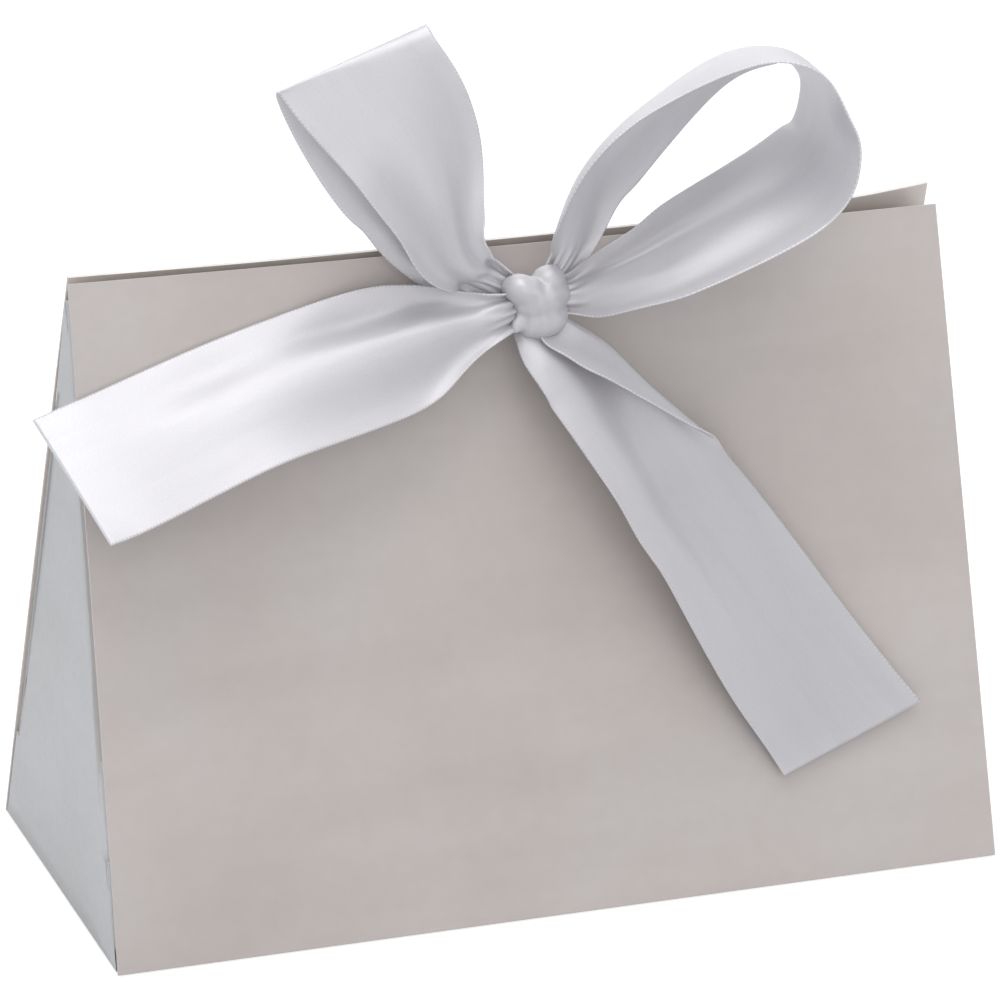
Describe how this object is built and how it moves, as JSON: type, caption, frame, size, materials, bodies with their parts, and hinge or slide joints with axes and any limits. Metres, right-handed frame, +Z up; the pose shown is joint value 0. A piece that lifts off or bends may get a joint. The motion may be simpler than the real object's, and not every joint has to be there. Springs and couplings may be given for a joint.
{
  "type": "favor box",
  "caption": "Tent-shaped favor box of folded pearl card that opens at its creases, tied shut at the top with a wide satin ribbon bow.",
  "frame": {"origin": "centre of the base panel's underside, on the surface the box stands on", "axes": "+X along the box's width, to the right seen from the front; -Y towards the front panel that carries the bow; +Z up"},
  "size_m": [0.1562, 0.066, 0.1417],
  "materials": {
    "pearl_card": "smooth pearl-coated white card, warm white with a faint pink and silver shimmer, soft sheen",
    "satin_ribbon": "white satin weave with a bright directional sheen and fine woven selvedges"
  },
  "bodies": {
    "base": {"base_panel": "pearl_card"},
    "front_panel": {"front_panel": "pearl_card", "ribbon_knot": "satin_ribbon", "ribbon_left_loop": "satin_ribbon", "ribbon_right_loop": "satin_ribbon", "ribbon_left_tail": "satin_ribbon", "ribbon_right_tail": "satin_ribbon", "ribbon_front_strands": "satin_ribbon"},
    "back_panel": {"back_panel": "pearl_card", "ribbon_back_strand": "satin_ribbon"},
    "left_end": {"left_end_panel": "pearl_card"},
    "right_end": {"right_end_panel": "pearl_card"},
    "left_front_tab": {"left_front_tab": "pearl_card"},
    "left_back_tab": {"left_back_tab": "pearl_card"},
    "right_front_tab": {"right_front_tab": "pearl_card"},
    "right_back_tab": {"right_back_tab": "pearl_card"}
  },
  "joints": [
    {"name": "front_panel_crease", "type": "hinge", "parent": "base", "child": "front_panel", "pos_m": [0, -0.03275, 0.00025], "axis": [1, 0, 0], "range_deg": [0, 75]},
    {"name": "back_panel_crease", "type": "hinge", "parent": "base", "child": "back_panel", "pos_m": [0, 0.03275, 0.00025], "axis": [-1, 0, 0], "range_deg": [0, 104]},
    {"name": "left_end_crease", "type": "hinge", "parent": "base", "child": "left_end", "pos_m": [-0.07475, 0, 0.00025], "axis": [0, -1, 0], "range_deg": [0, 91]},
    {"name": "right_end_crease", "type": "hinge", "parent": "base", "child": "right_end", "pos_m": [0.07475, 0, 0.00025], "axis": [0, 1, 0], "range_deg": [0, 91]},
    {"name": "left_front_tab_crease", "type": "hinge", "parent": "left_end", "child": "left_front_tab", "pos_m": [-0.07475, -0.02888, -0.00093], "axis": [0.0184, 0.2922, 0.9562], "range_deg": [0, 25], "stiffness_Nm_per_rad": 0.002},
    {"name": "left_back_tab_crease", "type": "hinge", "parent": "left_end", "child": "left_back_tab", "pos_m": [-0.07475, 0.0306, -0.00041], "axis": [-0.0184, 0.2922, -0.9562], "range_deg": [0, 25], "stiffness_Nm_per_rad": 0.002},
    {"name": "right_front_tab_crease", "type": "hinge", "parent": "right_end", "child": "right_front_tab", "pos_m": [0.07475, -0.02888, -0.00093], "axis": [0.0184, -0.2922, -0.9562], "range_deg": [0, 25], "stiffness_Nm_per_rad": 0.002},
    {"name": "right_back_tab_crease", "type": "hinge", "parent": "right_end", "child": "right_back_tab", "pos_m": [0.07475, 0.0306, -0.00041], "axis": [-0.0184, -0.2922, 0.9562], "range_deg": [0, 25], "stiffness_Nm_per_rad": 0.002}
  ]
}
